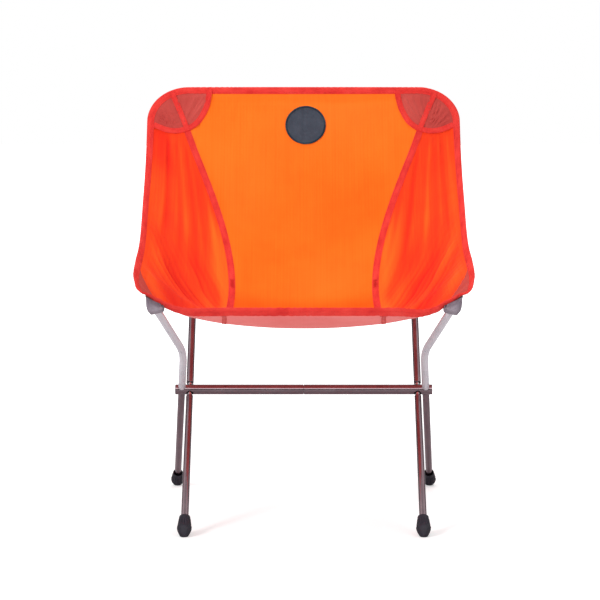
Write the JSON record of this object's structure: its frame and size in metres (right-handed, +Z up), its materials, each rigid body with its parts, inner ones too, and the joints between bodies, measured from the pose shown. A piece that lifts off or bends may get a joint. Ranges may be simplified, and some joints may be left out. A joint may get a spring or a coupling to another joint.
{
  "type": "ultralight backpacking chair",
  "caption": "Low pole-frame camp chair: a sling seat of orange and red fabric hung by its corners on four bent arms that meet four legs at a straight crossbar.",
  "frame": {"origin": "middle of the whole chair's footprint box, on the floor", "axes": "+Z up, -Y the front of the chair, +X to the right as seen from the front"},
  "size_m": [0.515, 0.469, 0.6589],
  "materials": {
    "bronze_tube": "glossy bronze anodised",
    "silver_tube": "satin silver anodised",
    "bare_alloy": "bright",
    "foot_rubber": "matt moulded",
    "black_plastic": "satin moulded",
    "cord": "braided elastic cord",
    "panel_fabric": "ripstop weave",
    "wing_fabric": "ripstop weave",
    "edge_tape": "folded woven tape",
    "corner_fabric": "coated pack cloth",
    "webbing": "woven webbing",
    "badge": "embroidered"
  },
  "bodies": {
    "frame": {"crossbar_left": "bronze_tube", "crossbar_right": "bronze_tube", "crossbar_plug_left": "black_plastic", "crossbar_plug_right": "black_plastic", "crossbar_ferrule": "bare_alloy", "crossbar_cord": "cord", "front_spigot_left": "bare_alloy", "rear_spigot_left": "bare_alloy", "front_cord_left": "cord", "rear_cord_left": "cord", "back_arm_lower_left": "bronze_tube", "back_arm_ferrule_left": "bare_alloy", "seat_arm_left": "silver_tube", "seat_arm_cap_left": "black_plastic", "front_spigot_right": "bare_alloy", "rear_spigot_right": "bare_alloy", "front_cord_right": "cord", "rear_cord_right": "cord", "back_arm_lower_right": "bronze_tube", "back_arm_ferrule_right": "bare_alloy", "seat_arm_right": "silver_tube", "seat_arm_cap_right": "black_plastic"},
    "front_leg_left": {"front_leg_left": "bronze_tube", "front_foot_left": "foot_rubber"},
    "rear_leg_left": {"rear_leg_left": "bronze_tube", "rear_foot_left": "foot_rubber"},
    "back_arm_left": {"back_arm_upper_left": "bronze_tube", "back_arm_cap_left": "black_plastic"},
    "front_leg_right": {"front_leg_right": "bronze_tube", "front_foot_right": "foot_rubber"},
    "rear_leg_right": {"rear_leg_right": "bronze_tube", "rear_foot_right": "foot_rubber"},
    "back_arm_right": {"back_arm_upper_right": "bronze_tube", "back_arm_cap_right": "black_plastic"},
    "seat": {"back_and_seat_panel": "panel_fabric", "top_binding": "edge_tape", "front_binding": "edge_tape", "badge_patch": "badge", "wing_left": "wing_fabric", "side_binding_left": "edge_tape", "seam_tape_left": "edge_tape", "back_corner_pocket_left": "corner_fabric", "front_corner_patch_left": "corner_fabric", "webbing_cup_left": "webbing", "wing_right": "wing_fabric", "side_binding_right": "edge_tape", "seam_tape_right": "edge_tape", "back_corner_pocket_right": "corner_fabric", "front_corner_patch_right": "corner_fabric", "webbing_cup_right": "webbing"}
  },
  "joints": [
    {"name": "front_leg_left_pull", "type": "slide", "parent": "frame", "child": "front_leg_left", "axis": [0.0061, -0.6927, -0.7212], "range_m": [0, 0.045]},
    {"name": "rear_leg_left_pull", "type": "slide", "parent": "frame", "child": "rear_leg_left", "axis": [-0.0795, 0.6924, -0.7171], "range_m": [0, 0.045]},
    {"name": "back_arm_left_pull", "type": "slide", "parent": "frame", "child": "back_arm_left", "axis": [-0.1248, 0.3136, 0.9413], "range_m": [0, 0.028]},
    {"name": "front_leg_right_pull", "type": "slide", "parent": "frame", "child": "front_leg_right", "axis": [-0.0061, -0.6927, -0.7212], "range_m": [0, 0.045]},
    {"name": "rear_leg_right_pull", "type": "slide", "parent": "frame", "child": "rear_leg_right", "axis": [0.0795, 0.6924, -0.7171], "range_m": [0, 0.045]},
    {"name": "back_arm_right_pull", "type": "slide", "parent": "frame", "child": "back_arm_right", "axis": [0.1248, 0.3136, 0.9413], "range_m": [0, 0.028]},
    {"name": "seat_lift_off", "type": "slide", "parent": "frame", "child": "seat", "axis": [0, 0.316, 0.9487], "range_m": [0, 0.15]}
  ]
}
